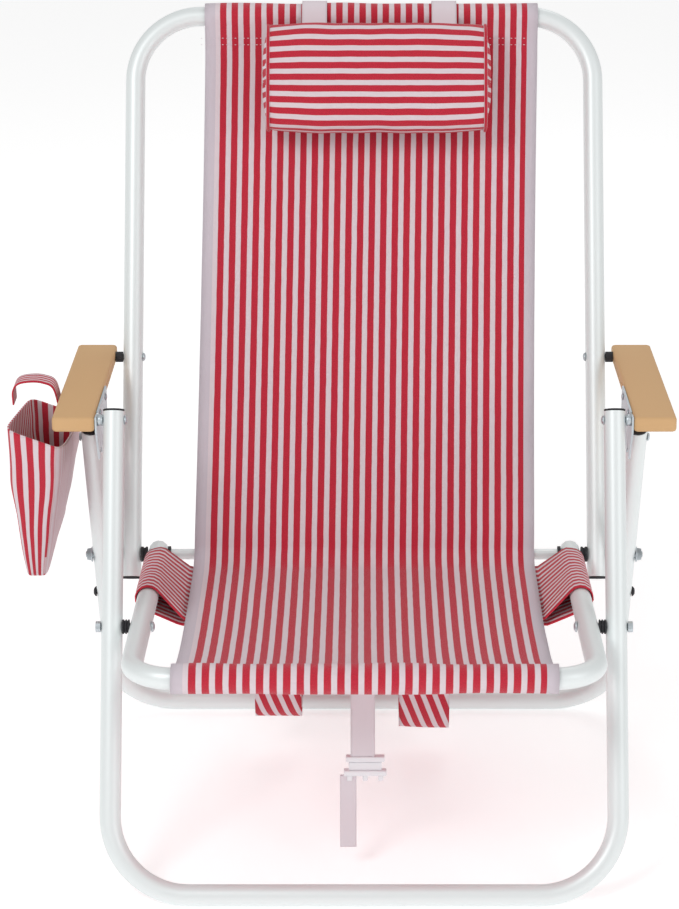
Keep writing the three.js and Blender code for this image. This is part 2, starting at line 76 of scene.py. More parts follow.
MM = 0.001
TUBE = 0.011  # radius of the frame tubes
BEND_RADIUS = {"back_frame": 0.0744, "seat_frame": 0.045, "front_leg_frame": 0.080, "rear_leg_frame": 0.071}
FLOOR_PRESS = 0.0003  # how far the ground bars press into the floor
SLING_CLOTH = 0.0013  # thickness of the sling and the band
SEWN_CLOTH = 0.0016  # thickness of the webbing, the pouch and its loop
CARRY_STRAP = 0.0038  # thickness of a carrying strap, folded and sewn
BAND_WIDTH = 0.132
BAND_PITCH = 0.0098  # one red and one white stripe on the band
FINE_PITCH = 0.0062  # the same on the piping and the pouch's loop
THREAD = 0.0011  # spacing of the weave
RIB = 0.0021  # spacing of the webbing's cross ribs
WALE = 0.0034  # spacing of its lengthwise ribs


def flat(y, z):
    """A point or direction in the chair's side plane."""
    return Vector((0, y, z))


UP = (PIVOT["arm_left_fold"] - HINGE).normalized()  # up the back
UP.x = 0
FORE = flat(-UP.z, UP.y)
AHEAD = (PIVOT["front_leg_fold"] - HINGE).normalized()  # forward along the seat
RISE = flat(AHEAD.z, -AHEAD.y)


def on_back(t, w):
    return HINGE + UP * t + FORE * w


def on_seat(t, w):
    return HINGE + AHEAD * t + RISE * w


BACK_BAR = (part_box("back_frame")[1][2] - TUBE - HINGE.z) / UP.z
SEAT_BAR = (HINGE.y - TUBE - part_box("seat_frame")[0][1]) / -AHEAD.y


# ---- Settings ----


class ClothSettings(bpy.types.PropertyGroup):
    """The striped cloth and the webbing."""

    pitch: bpy.props.FloatProperty(
        name="Stripe pitch", description="One red and one white stripe", default=0.0131,
        subtype="DISTANCE", unit="LENGTH",
    )
    share: bpy.props.FloatProperty(
        name="Red share", description="Part of the pitch that is red", default=0.56, subtype="FACTOR"
    )
    binding: bpy.props.FloatProperty(
        name="Binding", description="Width of the pale tape on the sling's edges", default=0.012,
        subtype="DISTANCE", unit="LENGTH",
    )
    red: bpy.props.FloatVectorProperty(
        name="Red", description="Colour of the red stripes", default=(0.48, 0.007, 0.028), subtype="COLOR"
    )
    white: bpy.props.FloatVectorProperty(
        name="White", description="Colour of the pale stripes", default=(0.80, 0.68, 0.72), subtype="COLOR"
    )
    tape: bpy.props.FloatVectorProperty(
        name="Webbing", description="Colour of the binding and webbing", default=(0.68, 0.60, 0.66),
        subtype="COLOR",
    )


class HardSettings(bpy.types.PropertyGroup):
    """The enamel and wood."""

    enamel: bpy.props.FloatVectorProperty(
        name="Enamel", description="Colour of the tubes", default=(0.56, 0.60, 0.595), subtype="COLOR"
    )
    wood_light: bpy.props.FloatVectorProperty(
        name="Light wood", description="Colour between the grain lines", default=(0.40, 0.205, 0.078),
        subtype="COLOR",
    )
    wood_dark: bpy.props.FloatVectorProperty(
        name="Dark wood", description="Colour of the grain lines", default=(0.27, 0.115, 0.034), subtype="COLOR"
    )


# ---- Materials ----


class Maker:
    """A material's node tree, with short calls to add nodes to it."""

    def __init__(self, name, **shader):
        self.material = bpy.data.materials.new(name)
        self.material.use_nodes = True
        self.tree = self.material.node_tree
        self.shader = self.tree.nodes["Principled BSDF"]
        for socket, value in shader.items():
            name = socket.replace("_", " ").title()
            if name.endswith("Ior"):
                name = "IOR"
            colour = isinstance(value, (tuple, list))
            self.shader.inputs[name].default_value = (*value, 1) if colour else value

    def link(self, source, target):
        if isinstance(source, (int, float)):
            target.default_value = source
        else:
            self.tree.links.new(source, target)

    def math(self, operation, a, b=0.0):
        node = self.tree.nodes.new("ShaderNodeMath")
        node.operation = operation
        self.link(a, node.inputs[0])
        self.link(b, node.inputs[1])
        return node.outputs[0]

    def fade(self, value, low, high, to_low=0.0, to_high=1.0):
        node = self.tree.nodes.new("ShaderNodeMapRange")
        self.link(value, node.inputs["Value"])
        for socket, number in zip(("From Min", "From Max", "To Min", "To Max"), (low, high, to_low, to_high)):
            node.inputs[socket].default_value = number
        return node.outputs[0]

    def uv(self):
        node = self.tree.nodes.new("ShaderNodeUVMap")
        node.uv_map = "cloth"
        split = self.tree.nodes.new("ShaderNodeSeparateXYZ")
        self.link(node.outputs[0], split.inputs[0])
        return node.outputs[0], split.outputs[0], split.outputs[1]

    def place(self, scale=(1, 1, 1)):
        where = self.tree.nodes.new("ShaderNodeTexCoord")
        mapping = self.tree.nodes.new("ShaderNodeMapping")
        mapping.inputs["Scale"].default_value = scale
        self.link(where.outputs["Object"], mapping.inputs[0])
        return mapping.outputs[0]

    def noise(self, vector, scale, detail=3.0, distortion=0.0):
        node = self.tree.nodes.new("ShaderNodeTexNoise")
        self.link(vector, node.inputs["Vector"])
        node.inputs["Scale"].default_value = scale
        node.inputs["Detail"].default_value = detail
        node.inputs["Distortion"].default_value = distortion
        return node.outputs[0]

    def mix(self, share, a, b):
        node = self.tree.nodes.new("ShaderNodeMix")
        node.data_type = "RGBA"
        self.link(share, node.inputs[0])
        for value, socket in ((a, node.inputs[6]), (b, node.inputs[7])):
            if hasattr(value, "node"):
                self.link(value, socket)
            else:
                socket.default_value = (*value, 1)
        return node.outputs[2]

    def colour(self, source):
        self.link(source, self.shader.inputs["Base Color"])

    def bump(self, height, distance, strength=1.0):
        node = self.tree.nodes.new("ShaderNodeBump")
        node.inputs["Strength"].default_value = strength
        node.inputs["Distance"].default_value = distance
        self.link(height, node.inputs["Height"])
        self.link(node.outputs[0], self.shader.inputs["Normal"])


def striped(name, edge=None, pale=0.0, pitch=None):
    """Striped cloth: the first UV number counts across the stripes, in metres."""
    s = bpy.context.scene.cloth
    m = Maker(name, roughness=0.78, sheen_weight=0.15, sheen_roughness=0.5)
    vector, u, v = m.uv()
    waver = m.math("MULTIPLY", m.math("SUBTRACT", m.noise(vector, 55.0), 0.5), 0.0008)
    count = m.math("FRACT", m.math("ADD", m.math("DIVIDE", m.math("ADD", u, waver), pitch or s.pitch), 100.25))
    off = m.math("ABSOLUTE", m.math("SUBTRACT", count, 0.5))
    # With pale above zero the red fades towards the white; the pouch's faces turned to +X use this for a painted
    # highlight.
    red = m.fade(off, s.share / 2 - 0.02, s.share / 2 + 0.02, 1.0 - pale, 0.0)
    bright_red = tuple(min(1, 1.35 * c) for c in s.red)
    mottled = m.mix(m.fade(m.noise(vector, 900.0, 2.0), 0.35, 0.65), s.red, bright_red)
    colour = m.mix(red, s.white, mottled)
    if edge:
        on_tape = m.math("GREATER_THAN", m.math("ABSOLUTE", u), edge)
        colour = m.mix(on_tape, colour, s.tape)
    m.colour(colour)
    weft = m.math("SINE", m.math("MULTIPLY", u, 2 * math.pi / THREAD))
    warp = m.math("SINE", m.math("MULTIPLY", v, 2 * math.pi / THREAD))
    weave = m.math("MULTIPLY", weft, warp)
    rumple = m.math("MULTIPLY", m.noise(vector, 22.0, 2.0), 9.0)
    m.bump(m.math("ADD", weave, rumple), 0.00022, 0.8)
    return m.material


def webbing_finish(name):
    s = bpy.context.scene.cloth
    m = Maker(name, roughness=0.8, sheen_weight=0.2)
    _, u, v = m.uv()
    rib = m.math("SINE", m.math("MULTIPLY", v, 2 * math.pi / RIB))
    wale = m.math("SINE", m.math("MULTIPLY", u, 2 * math.pi / WALE))
    height = m.math("ADD", rib, m.math("MULTIPLY", wale, 0.5))
    # The grooves between the ribs are coloured darker than the crests: painted shade.
    m.colour(m.mix(m.fade(height, -1.2, 1.2), tuple(0.82 * c for c in s.tape), s.tape))
    m.bump(height, 0.00035, 0.9)
    return m.material


def enamel_finish(name):
    s = bpy.context.scene.hard
    m = Maker(name, roughness=0.2, coat_weight=0.25, coat_roughness=0.05, specular_ior_level=0.4)
    spots = m.noise(m.place(), 60.0, 4.0)
    m.colour(m.mix(m.fade(spots, 0.3, 0.8), s.enamel, tuple(0.96 * c for c in s.enamel)))
    m.link(m.fade(m.noise(m.place(), 35.0, 5.0), 0.3, 0.7, 0.12, 0.24), m.shader.inputs["Roughness"])
    m.bump(m.noise(m.place(), 240.0, 2.0), 0.00006, 0.5)
    return m.material


def wood_finish(name):
    s = bpy.context.scene.hard
    m = Maker(name, roughness=0.5, coat_weight=0.06, coat_roughness=0.3, specular_ior_level=0.3)
    grain = m.noise(m.place((1.0, 0.04, 1.0)), 420.0, 5.0, 0.4)
    rings = m.noise(m.place((1.0, 0.07, 1.0)), 95.0, 2.0, 1.6)
    fine = m.math("MULTIPLY", m.fade(grain, 0.3, 0.7), 0.45)
    broad = m.math("MULTIPLY", m.fade(rings, 0.35, 0.65), 0.55)
    share = m.math("ADD", fine, broad)
    m.colour(m.mix(share, s.wood_light, s.wood_dark))
    m.bump(grain, 0.0002, 0.5)
    return m.material


def plain_finish(name, colour, roughness, metallic=0.0):
    """Moulded plastic or plated steel, with fine scuffs."""
    m = Maker(name, metallic=metallic)
    scuff = m.noise(m.place(), 420.0, 4.0)
    m.colour(m.mix(m.fade(scuff, 0.3, 0.75), colour, tuple(min(1, 1.25 * c + 0.01) for c in colour)))
    m.link(m.fade(scuff, 0.3, 0.7, roughness - 0.08, roughness + 0.1), m.shader.inputs["Roughness"])
    m.bump(scuff, 0.00008, 0.5)
    return m.material


def finish(name):
    """The named finish, made once."""
    found = bpy.data.materials.get(name)
    if found:
        return found
    s = bpy.context.scene.cloth
    half_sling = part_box("sling_seat")[1][0]
    return {
        "sling cloth": lambda: striped(name, edge=half_sling - s.binding),
        "striped cloth": lambda: striped(name),
        "band cloth": lambda: striped(name, pitch=BAND_PITCH),
        "fine striped cloth": lambda: striped(name, pitch=FINE_PITCH),
        "striped cloth with painted highlight": lambda: striped(name, pale=0.78),
        "webbing": lambda: webbing_finish(name),
        "enamel": lambda: enamel_finish(name),
        "wood": lambda: wood_finish(name),
        "zinc": lambda: plain_finish(name, (0.55, 0.61, 0.65), 0.26, 1.0),
        "black": lambda: plain_finish(name, (0.012, 0.012, 0.015), 0.42),
        "white_plastic": lambda: plain_finish(name, (0.62, 0.60, 0.64), 0.33),
        "thread": lambda: plain_finish(name, (0.66, 0.58, 0.63), 0.7),
    }[name]()


# ---- Shapes ----


def piece(name, bm, material, sharp=40):
    """A new object from a bmesh, smooth except at its corners."""
    mesh = bpy.data.meshes.new(name)
    bm.to_mesh(mesh)
    bm.free()
    mesh.polygons.foreach_set("use_smooth", [True] * len(mesh.polygons))
    mesh.set_sharp_from_angle(angle=math.radians(sharp))
    obj = bpy.data.objects.new(name, mesh)
    bpy.context.scene.collection.objects.link(obj)
    mesh.materials.append(finish(material))
    return obj


def settle(obj):
    """Applies the object's modifiers to its mesh."""
    graph = bpy.context.evaluated_depsgraph_get()
    graph.update()
    mesh = bpy.data.meshes.new_from_object(obj.evaluated_get(graph))
    obj.modifiers.clear()
    obj.data = mesh
    return obj


def thicken(obj, thickness, offset=0):
    """Gives a cloth surface its thickness: offset 0 for both sides, -1 for the inside."""
    solid = obj.modifiers.new("thickness", "SOLIDIFY")
    solid.thickness = thickness
    solid.offset = offset
    return settle(obj)


def stand_for(obj, body, slot, *nodes):
    """Gives the object its body, and puts it in place of the named CAD nodes."""
    if nodes:
        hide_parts(*nodes)
    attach(obj, body)
    return obj


def surface(across, along, place, uv, weld=True, cap=False):
    """A grid bent into shape: place and uv take its two shares, from 0 to 1."""
    bm = bmesh.new()
    bmesh.ops.create_grid(bm, x_segments=across, y_segments=along, size=0.5)
    layer = bm.loops.layers.uv.new("cloth")
    for face in bm.faces:
        for loop in face.loops:
            loop[layer].uv = uv(loop.vert.co.x + 0.5, loop.vert.co.y + 0.5)
    for vert in bm.verts:
        vert.co = place(vert.co.x + 0.5, vert.co.y + 0.5)
    if weld:
        bmesh.ops.remove_doubles(bm, verts=bm.verts[:], dist=2e-5)
        bmesh.ops.dissolve_degenerate(bm, edges=bm.edges[:], dist=1e-6)
    if cap:
        bmesh.ops.holes_fill(bm, edges=[e for e in bm.edges if e.is_boundary])
    bmesh.ops.recalc_face_normals(bm, faces=bm.faces[:])
    return bm


def even_ring(half_a, half_b, power_a, power_b, count=240):
    """A rounded rectangle about the origin as a closed line, read by its share of the length."""
    points = []
    for i in range(count + 1):
        c, s = math.cos(2 * math.pi * i / count), math.sin(2 * math.pi * i / count)
        a = half_a * math.copysign(abs(c) ** power_a, c)
        b = half_b * math.copysign(abs(s) ** power_b, s)
        points.append((a, b, 0))
    return Line(points, smooth=False)


class Line:
    """A smooth line through points, read by its share of the length."""

    def __init__(self, points, smooth=True, steps=10):
        self.points = [Vector(p) for p in points]
        if smooth:
            ends = [2 * self.points[0] - self.points[1], *self.points, 2 * self.points[-1] - self.points[-2]]
            self.points = []
            for a, b, c, d in zip(ends, ends[1:], ends[2:], ends[3:]):
                for i in range(steps):
                    t = i / steps
                    square = (2 * a - 5 * b + 4 * c - d) * t**2
                    cube = (3 * b - a - 3 * c + d) * t**3
                    self.points.append(0.5 * (2 * b + (c - a) * t + square + cube))
            self.points.append(ends[-2])
        self.at = [0.0]
        for a, b in zip(self.points, self.points[1:]):
            self.at.append(self.at[-1] + (b - a).length)
        self.length = self.at[-1]

    def point(self, share):
        want = min(max(share, 0.0), 1.0) * self.length
        i = min(max(bisect_left(self.at, want - 1e-12), 1), len(self.at) - 1)
        gap = self.at[i] - self.at[i - 1]
        return self.points[i - 1].lerp(self.points[i], (want - self.at[i - 1]) / gap if gap else 0.0)

    def tangent(self, share):
        return (self.point(share + 0.002) - self.point(share - 0.002)).normalized()


def band(
    name, line, x0, x1, material, thickness, across=10, along=90, slant=0.0, wave=0.0, drift=0.0
):
    """A strip of cloth along a line in the side plane, from x0 to x1, with its thickness.

    Slant turns the stripes, wave ruffles the cloth, and drift moves it sideways towards the top.
    """

    def place(s, t):
        p = line.point(t)
        x = x0 + (x1 - x0) * s
        lift = wave * noise.noise(Vector((x * 16, t * line.length * 12, 3.1)))
        tangent = line.tangent(t)
        aside = drift * min(max((p.z - HINGE.z) / 0.5, 0.0), 1.0)
        return Vector((x + aside, p.y - tangent.z * lift, p.z + tangent.y * lift))

    def pattern(s, t):
        return x0 + (x1 - x0) * s + slant * t * line.length, t * line.length

    bm = surface(across, along, place, pattern, weld=False)
    return thicken(piece(name, bm, material), thickness)


def tube(name, points, radius, side, material, sides=28):
    """A round tube along points that lie in a plane whose normal is side."""
    line = Line(points, smooth=False)
    shares = [a / line.length for a in line.at]
    last = len(points) - 1

    def place(s, t):
        i = round(t * last)
        before, after = points[max(i - 1, 0)], points[min(i + 1, last)]
        tangent = (after - before).normalized()
        angle = 2 * math.pi * s
        return points[i] + radius * (side * math.cos(angle) + side.cross(tangent) * math.sin(angle))

    bm = surface(sides, last, place, lambda s, t: (s * 0.07, shares[round(t * last)]), cap=True)
    return piece(name, bm, material)


def u_points(half, start, direction, reach, corner, steps=18):
    """The axis of a U of tube: two arms from start, and a bar `reach` further on."""
    arm = []
    for i in range(steps + 1):
        a = math.pi / 2 * i / steps
        arm.append((corner * (1 - math.cos(a)), reach - corner * (1 - math.sin(a))))
    arm = [(0, reach * k / 24) for k in range(24) if reach * k / 24 < reach - corner - 0.005] + arm
    left = [start + direction * t + Vector((-half + x, 0, 0)) for x, t in arm]
    right = [start + direction * t + Vector((half - x, 0, 0)) for x, t in reversed(arm)]
    return left + right


def stitches(name, start, step, count, run, body, length=0.0026):
    """A row of thread stitches from start, a step apart, each lying along run."""
    thin = 0.0004
    bm = bmesh.new()
    for k in range(count):
        made = bmesh.ops.create_icosphere(bm, subdivisions=1, radius=1.0)["verts"]
        for vert in made:
            c = vert.co
            side = run.orthogonal().normalized()
            vert.co = start + step * k + run * c.x * length / 2 + side * c.y * thin + run.cross(side) * c.z * thin
    return stand_for(piece(name, bm, "thread"), body, "webbing")


def arc(centre, axis, side, radius, start, stop, count):
    """Points round a bar, with the angle counted from axis towards side, in degrees."""
    found = []
    for i in range(count + 1):
        a = math.radians(start + (stop - start) * i / count)
        found.append(centre + radius * (axis * math.cos(a) + side * math.sin(a)))
    return found


# ---- Operators ----


class ChairStep(bpy.types.Operator):
    bl_options = {"REGISTER", "UNDO"}

    def execute(self, context):
        self.build(context)
        return {"FINISHED"}


class CHAIR_OT_frames(ChairStep):
    """Draw the four bent tube frames"""

    bl_idname = "camp_chair.frames"
    bl_label = "Tube frames"

    def build(self, context):
        rear_up = self.leg_direction("rear_leg_frame", HINGE)
        for node, direction, pivot in (
            ("back_frame", UP, HINGE),
            ("seat_frame", AHEAD, HINGE),
            ("front_leg_frame", -UP, PIVOT["front_leg_fold"]),
            ("rear_leg_frame", -rear_up, HINGE),
        ):
            low, high = (Vector(c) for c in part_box(node))
            half = high.x - TUBE
            if node == "back_frame":
                first = (low.z + TUBE * UP.y - pivot.z) / UP.z
                last = BACK_BAR
            elif node == "seat_frame":
                first = (pivot.y - high.y) / -AHEAD.y + TUBE * abs(AHEAD.z)
                last = SEAT_BAR
            else:
                first = (high.z - TUBE * abs(direction.y) - pivot.z) / direction.z
                last = (TUBE - FLOOR_PRESS - pivot.z) / direction.z
            points = u_points(half, pivot + direction * first, direction, last - first, BEND_RADIUS[node])
            side = Vector((1, 0, 0)).cross(direction).normalized()
            obj = tube(node.replace("_frame", "_tube"), points, TUBE, side, "enamel")
            stand_for(obj, BODY_OF[node], "enamel", node)

    @staticmethod
    def leg_direction(node, pivot):
        high = Vector(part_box(node)[1])
        foot = flat(high.y - TUBE, TUBE)
        return (flat(pivot.y, pivot.z) - foot).normalized()


class CHAIR_OT_fittings(ChairStep):
    """Finish the armrests, plates, bolts, spacers and plugs"""

    bl_idname = "camp_chair.fittings"
    bl_label = "Armrests and fittings"

    def build(self, context):
        slots = {part["node"]: part["material_slot"] for part in frame["record"]["subparts"]}
        for node, slot in slots.items():
            if slot in ("stripe", "webbing") or node.endswith("_frame") or node == "closure_buckle":
                continue
            bm = bmesh.new()
            bm.from_mesh(frame["nodes"][node].data)
            bmesh.ops.remove_doubles(bm, verts=bm.verts[:], dist=1e-5)
            obj = piece(node + "_finish", bm, slot, sharp=35)
            stand_for(obj, BODY_OF[node], slot, node)


class CHAIR_OT_sling(ChairStep):
    """Hang the striped sling and its stitching between the top bar and the front bar"""

    bl_idname = "camp_chair.sling"
    bl_label = "Sling"

    def build(self, context):
        radius = 0.0142
        top = on_back(BACK_BAR, 0)
        front = on_seat(SEAT_BAR, 0)
        points = [on_back(BACK_BAR - 0.046, -0.0045), on_back(BACK_BAR - 0.030, -0.0035)]
        points += arc(top, UP, FORE, radius, -140, 140, 12)
        points += [on_back(BACK_BAR - 0.030, 0.0)]
        down_back = (
            (540, -7), (480, -13), (420, -17), (320, -18), (220, -14), (120, -5), (60, 3), (30, 7.5),
            (13, 8.2), (4, 8.5),
        )
        along_seat = ((22, -4), (40, -8.5), (100, -14), (180, -18), (260, -17), (320, -11))
        points += [on_back(t * MM, w * MM) for t, w in down_back]
        points += [on_seat(t * MM, w * MM) for t, w in along_seat]
        points += [on_seat(SEAT_BAR - 0.030, 0.0)]
        points += arc(front, AHEAD, RISE, radius, 140, -140, 12)
        points += [on_seat(SEAT_BAR - 0.030, -0.0035), on_seat(SEAT_BAR - 0.044, -0.0065)]
        line = Line(points, steps=6)
        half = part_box("sling_seat")[1][0]
        obj = band(
            "sling", line, -half, half, "sling cloth", SLING_CLOTH, across=40, along=260, wave=0.0016, drift=0.008
        )
        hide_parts("sling_back", "sling_seat")
        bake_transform(obj)
        across = Vector((0.0048, 0, 0))
        count = int(2 * half / across.x) - 1
        rows = (
            ("stitch_top_upper", on_back(BACK_BAR - 0.026, 0.0035), "back"),
            ("stitch_top_lower", on_back(BACK_BAR - 0.033, 0.0014), "back"),
            ("stitch_front", on_seat(SEAT_BAR - 0.027, 0.0036), "seat"),
        )
        for name, at, body in rows:
            stitches(name, at + Vector((-half + 0.004, 0, 0)), across, count, Vector((1, 0, 0)), body)


class CHAIR_OT_under_band(ChairStep):
    """Loop the striped band round the seat tubes"""

    bl_idname = "camp_chair.under_band"
    bl_label = "Band under the seat"

    def build(self, context):
        seat_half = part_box("seat_frame")[1][0] - TUBE
        sling_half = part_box("sling_seat")[1][0]
        radius = 0.0132
        start = 0.020  # from the hinge, forward along the seat
        half = [Vector((sling_half + 0.006, -0.030, 0))]
        for i in range(12):
            a = math.radians(-62 + 200 * i / 11)
            half.append(Vector((seat_half + radius * math.cos(a), radius * math.sin(a), 0)))
        half.append(Vector((sling_half + 0.002, -0.0245, 0)))
        loop = [*half, *(Vector((-p.x, p.y, 0)) for p in reversed(half)), half[0]]
        line = Line(loop, smooth=False)

        def place(s, t):
            p = line.point(t)
            along = start + BAND_WIDTH * s
            inward = min(max((seat_half - abs(p.x)) / (seat_half - sling_half), 0.0), 1.0)
            lift = inward * 0.016 * (1 - s) ** 1.5
            ruffle = 0.0009 * noise.noise(Vector((p.x * 30, s * 6, 1)))
            return on_seat(along, p.y + lift + ruffle) + Vector((p.x, 0, 0))

        bm = surface(14, 180, place, lambda s, t: (BAND_WIDTH * s, t * line.length))
        obj = thicken(piece("seat_band", bm, "band cloth"), SLING_CLOTH)
        stand_for(obj, "seat", "stripe", "under_band")


class CHAIR_OT_pillow(ChairStep):
    """Stuff the head pillow and hang it from its two straps"""

    bl_idname = "camp_chair.pillow"
    bl_label = "Head pillow"

    def build(self, context):
        low, high = (Vector(c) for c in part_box("pillow"))
        middle = flat((low.y + high.y) / 2, (low.z + high.z) / 2)
        half_x, centre_x = (high.x - low.x) / 2, (high.x + low.x) / 2
        tall, deep = 0.061, 0.026
        body_share, end_share = 0.42, 0.19  # of the grid, out from the middle, and of that, over each end
        end_depth = 0.007

        edge = even_ring(tall, deep, 0.45, 0.62)

        def place(s, t):
            a, b, _ = edge.point(s)
            angle = math.atan2(b, a)
            x = (t - 0.5) / body_share
            if abs(x) <= 1:
                lumps = noise.noise(Vector((t * 9, math.cos(angle), math.sin(angle))))
                share = 1 - 0.06 * abs(x) ** 6 + 0.02 * lumps
                share += 0.012 * math.sin(angle * 11) * abs(x) ** 8
                reach = x * (half_x - end_depth)
            else:
                depth = min((abs(x) - 1) / end_share, 1)
                share = 0.94 * (1 - depth)
                reach = math.copysign(half_x - end_depth + 0.006 * math.sin(depth * math.pi / 2), x)
                reach += math.copysign(0.0016, x) * math.sin(7 * angle) * math.sin(depth * math.pi)
            return middle + UP * a * share + FORE * b * share + Vector((centre_x + reach, 0, 0))

        def pattern(s, t):
            inward = (abs(t - 0.5) / body_share - 1) / end_share
            if inward <= 0:
                return s * edge.length, t * 2 * half_x * 1.1
            a, b, _ = edge.point(s) * (1 - min(inward, 1))
            return a, b

        bm = surface(96, 110, place, pattern)
        obj = piece("head_pillow", bm, "striped cloth", sharp=70)
        stand_for(obj, "back", "stripe", "pillow")
        for sign, side in ((-1, "right"), (1, "left")):
            rim = []
            for i in range(73):
                a, b, _ = edge.point(i / 72) * 0.955
                rim.append(middle + UP * a + FORE * b + Vector((centre_x + sign * (half_x - end_depth), 0, 0)))
            self.piping("pillow_piping_" + side, rim)
        for side in ("right", "left"):
            node = "pillow_strap_" + side
            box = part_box(node)
            points = [on_back(BACK_BAR - 0.022, 0.0215), on_back(BACK_BAR - 0.008, 0.0185)]
            points += arc(on_back(BACK_BAR, 0), UP, FORE, 0.0168, 80, -100, 10)
            points += [on_back(BACK_BAR - 0.050, -0.0225)]
            strap = band(node + "_webbing", Line(points), box[0][0], box[1][0], "webbing", SEWN_CLOTH, across=8)
            stand_for(strap, "back", "webbing", node)

    @staticmethod
    def piping(name, rim):
        """A thin round cord of cloth along a closed rim, whose last point is its first."""
        count = len(rim) - 1
        radius = 0.0019
        side = Vector((1, 0, 0))

        def place(s, t):
            i = round(t * count) % count
            ahead = (rim[(i + 1) % count] - rim[i - 1]).normalized()
            a = 2 * math.pi * s
            return rim[i] + radius * (side * math.cos(a) + side.cross(ahead) * math.sin(a))

        bm = surface(10, count, place, lambda s, t: (s * 0.01, t * 0.4))
        stand_for(piece(name, bm, "fine striped cloth"), "back", "stripe")


class CHAIR_OT_carry_straps(ChairStep):
    """Sew the two carrying straps, which loop below the hinge"""

    bl_idname = "camp_chair.carry_straps"
    bl_label = "Carrying straps"

    def build(self, context):
        for side in ("right", "left"):
            node = "pack_strap_" + side
            low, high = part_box(node)
            drop = (HINGE.z - low[2] - 0.002) * 1000
            down_back = ((540, -20), (430, -34), (300, -44), (170, -42), (70, -36))
            loop = (
                (42, -30), (38, -90), (22, 22 - drop), (2, 3 - drop), (-20, -drop), (-40, 18 - drop), (-46, -110),
                (-38, -31),
            )
            points = [on_back(t * MM, w * MM) for t, w in down_back]
            points += [HINGE + flat(y * MM, z * MM) for y, z in loop]
            strap = band(
                node + "_cloth", Line(points), low[0], high[0], "striped cloth", CARRY_STRAP, along=150,
                slant=0.35, wave=0.003,
            )
            stand_for(strap, "back", "stripe", node)


class CHAIR_OT_closure(ChairStep):
    """Hang the closing strap, its buckle half and its loose tail"""

    bl_idname = "camp_chair.closure"
    bl_label = "Closing strap"

    def build(self, context):
        for node, kink in (("closure_strap", 0.002), ("closure_tail", 0.006)):
            low, high = (Vector(c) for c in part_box(node))
            y = (low.y + high.y) / 2
            points = []
            for i in range(7):
                share = i / 6
                points.append(flat(y + kink * math.sin(share * 5), high.z + (low.z - high.z) * share))
            strap = band(
                node + "_webbing", Line(points), low.x, high.x, "webbing", SEWN_CLOTH, across=8, along=60
            )
            stand_for(strap, "seat", "webbing", node)
        low, high = (Vector(c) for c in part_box("closure_buckle"))
        middle = (low + high) / 2
        bm = bmesh.new()
        plate = high.z - 0.022
        blocks = [
            (Vector((middle.x, middle.y, high.z - 0.003)), Vector((0.040, 0.0075, 0.006))),
            (Vector((middle.x, middle.y, plate + 0.0105)), Vector((0.034, 0.004, 0.009))),
            (Vector((middle.x, middle.y, plate + 0.003)), Vector((0.044, 0.008, 0.006))),
        ]
        for x in (-0.016, 0.0, 0.016):
            prong = Vector((middle.x + x, middle.y, plate - 0.0015))
            blocks.append((prong, Vector((0.0055, 0.004, 0.010))))
        for centre, size in blocks:
            made = bmesh.ops.create_cube(bm, size=1.0)["verts"]
            bmesh.ops.scale(bm, vec=size, verts=made)
            bmesh.ops.translate(bm, vec=centre, verts=made)
        bmesh.ops.bevel(
            bm, geom=bm.edges[:], offset=0.0011, segments=3, profile=0.5, affect="EDGES", material=-1
        )
        stand_for(piece("buckle_half", bm, "white_plastic"), "seat", "white_plastic", "closure_buckle")


class CHAIR_OT_pouch(ChairStep):
    """Sew the open pouch on the right armrest and its loop"""

    bl_idname = "camp_chair.pouch"
    bl_label = "Side pouch"

    def build(self, context):
        low, high = (Vector(c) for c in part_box("pouch"))
        tall = high.z - low.z
        middle_y, half_y = (low.y + high.y) / 2, (high.y - low.y) / 2 - 0.002
        base_share = 0.12  # of the grid, over the rounded bottom

        rim = even_ring((high.x - low.x) / 2, half_y, 0.28, 0.28)

        def place(s, t):
            a, b, _ = rim.point(s)
            c, d = 2 * a / (high.x - low.x), b / half_y
            up = max((t - base_share) / (1 - base_share), 0.0)
            grow = math.sin(math.pi / 2 * min(t / base_share, 1.0))
            outer = low.x + 0.001 + 0.014 * (1 - up) ** 2.2
            inner = high.x - 0.001 - 0.021 * (1 - up) ** 1.3
            centre = (outer + inner) / 2
            half_x = (inner - outer) / 2
            x = centre + grow * half_x * c
            y = middle_y + grow * half_y * (1 - 0.06 * (1 - up)) * d
            side = (x - outer) / max(inner - outer, 1e-6)
            crumple = 0.0022 * noise.noise(Vector((x * 30, y * 22, up * 4))) * math.sin(math.pi * up)
            behind = (y - low.y) / (high.y - low.y)
            base = 0.001 + 0.014 * (1 - math.sqrt(max(1 - grow * grow, 0.0)))
            z = low.z + base + up * (tall - 0.018 - 0.022 * side - 0.042 * behind)
            z += 0.004 * (1 - up) * (1 - abs(d))
            return Vector((x + crumple, y + crumple * 0.6, z))

        bm = surface(150, 60, place, lambda s, t: (s * rim.length, t * tall))
        obj = piece("side_pouch", bm, "striped cloth", sharp=60)
        # Faces turned towards +X get a paler copy of the striped cloth: painted highlight.
        obj.data.materials.append(finish("striped cloth with painted highlight"))
        for face in obj.data.polygons:
            if face.normal.x > 0.6:
                face.material_index = 1
        thicken(obj, SEWN_CLOTH, offset=-1)
        stand_for(obj, "arm_right", "stripe", "pouch")
        self.loop(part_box("pouch_loop"))

    @staticmethod
    def loop(box):
        (x0, y0, z0), (x1, y1, z1) = box
        wide, tall = x1 - x0, z1 - z0
        shape = ((0.03, 0.10), (0.03, 0.60), (0.14, 0.88), (0.40, 0.97), (0.65, 0.93), (0.86, 0.72), (0.97, -0.05))
        line = Line([Vector((x0 + wide * a, 0, z0 + tall * b)) for a, b in shape])

        def place(s, t):
            p = line.point(t)
            return Vector((p.x, y0 + (y1 - y0) * s, p.z))

        bm = surface(8, 50, place, lambda s, t: (s * (y1 - y0), t * line.length), weld=False)
        obj = thicken(piece("pouch_loop_cloth", bm, "fine striped cloth"), SEWN_CLOTH)
        stand_for(obj, "arm_right", "stripe", "pouch_loop")


